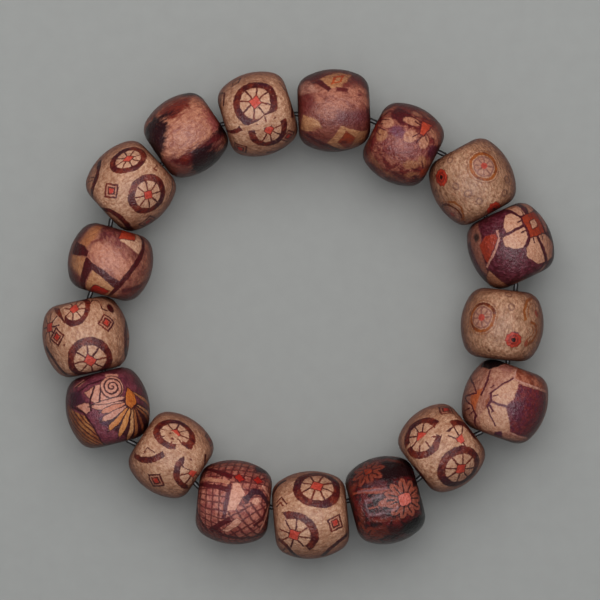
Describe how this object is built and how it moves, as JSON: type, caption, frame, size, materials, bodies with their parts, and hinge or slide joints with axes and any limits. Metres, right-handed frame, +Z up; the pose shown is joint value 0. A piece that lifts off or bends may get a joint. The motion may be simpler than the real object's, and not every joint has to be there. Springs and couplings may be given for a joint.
{
  "type": "beaded bracelet",
  "caption": "Stretch bracelet of patterned wooden barrel beads strung end to end on an elastic thread, lying flat as a closed ring.",
  "frame": {"origin": "middle of the bracelet's box, on the surface that the beads rest on", "axes": "+Z up through the ring's opening, +X along the ring's longest extent, +Y towards the banded bead and the first wheel bead"},
  "size_m": [0.0727, 0.0696, 0.0125],
  "materials": {
    "wheel_print": "varnished pale wood printed with red-centred wheels and nested diamonds",
    "banded_print": "varnished wood printed with dark red bands, orange squares and a mauve to gold band",
    "blossom_print": "varnished wood with a dark red print of cream blossoms",
    "rosette_print": "varnished tan wood printed with ringed rosettes and small circles",
    "petal_print": "varnished wood with a purple print of cream petals and orange squares",
    "daisy_print": "glossy varnished wood with a dark red print of salmon daisies",
    "lattice_print": "varnished wood with a salmon print of a dark red net",
    "fan_print": "varnished wood with a purple print of orange fans",
    "shaded_print": "varnished wood with dark red blotches on both sides of a golden pink band",
    "elastic": "clear whitish stretch thread"
  },
  "bodies": {
    "root": {"wheel_bead_1": "wheel_print", "banded_bead_1": "banded_print", "blossom_bead": "blossom_print", "rosette_bead_1": "rosette_print", "petal_bead_1": "petal_print", "rosette_bead_2": "rosette_print", "petal_bead_2": "petal_print", "wheel_bead_2": "wheel_print", "daisy_bead": "daisy_print", "wheel_bead_3": "wheel_print", "lattice_bead": "lattice_print", "wheel_bead_4": "wheel_print", "fan_bead": "fan_print", "wheel_bead_5": "wheel_print", "banded_bead_2": "banded_print", "wheel_bead_6": "wheel_print", "shaded_bead": "shaded_print", "elastic_thread": "elastic"}
  },
  "joints": []
}
